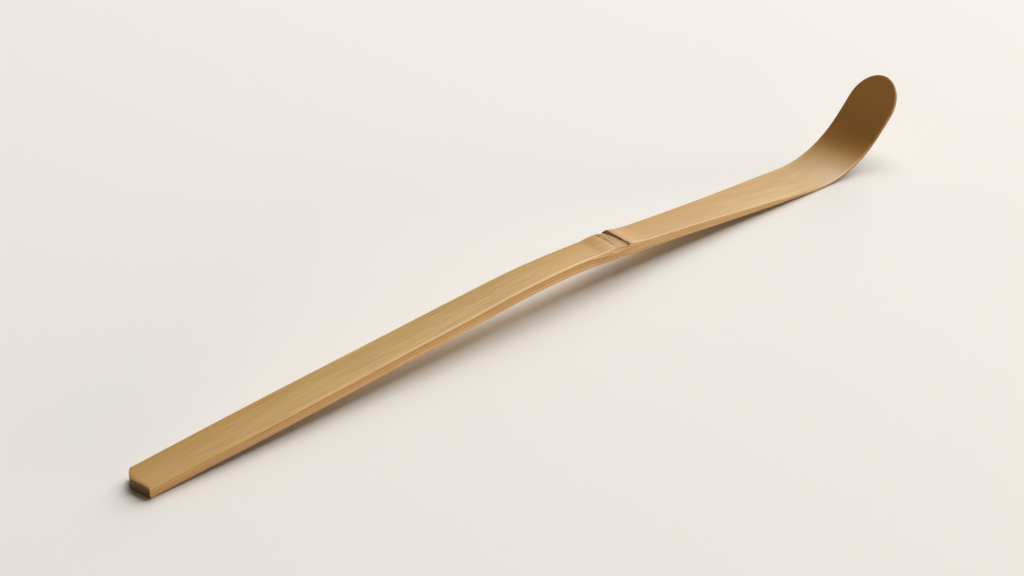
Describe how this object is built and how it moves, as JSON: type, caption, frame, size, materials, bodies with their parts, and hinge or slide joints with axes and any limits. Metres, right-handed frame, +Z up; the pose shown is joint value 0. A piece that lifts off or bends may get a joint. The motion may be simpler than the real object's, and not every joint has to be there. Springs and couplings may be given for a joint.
{
  "type": "tea scoop",
  "caption": "Slim scoop carved from a strip of bamboo, with a flat handle, a node at mid length and a heat-bent, round-tipped bowl for lifting powdered tea.",
  "frame": {"origin": "centre of the bounding box in plan, on the surface that the scoop lies on", "axes": "+X along the scoop from the cut end of the handle to the tip of the bowl, +Y across the strip, +Z up"},
  "size_m": [0.1818, 0.011, 0.0144],
  "materials": {
    "bamboo_skin": "satin",
    "bamboo_flesh": "matte",
    "bamboo_node": "matte",
    "sheath_scar": "matte"
  },
  "bodies": {
    "root": {"handle_flesh": "bamboo_flesh", "handle_skin": "bamboo_skin", "node_ridge": "bamboo_node", "sheath_scar": "sheath_scar", "scoop_flesh": "bamboo_flesh", "scoop_skin": "bamboo_skin"}
  },
  "joints": []
}
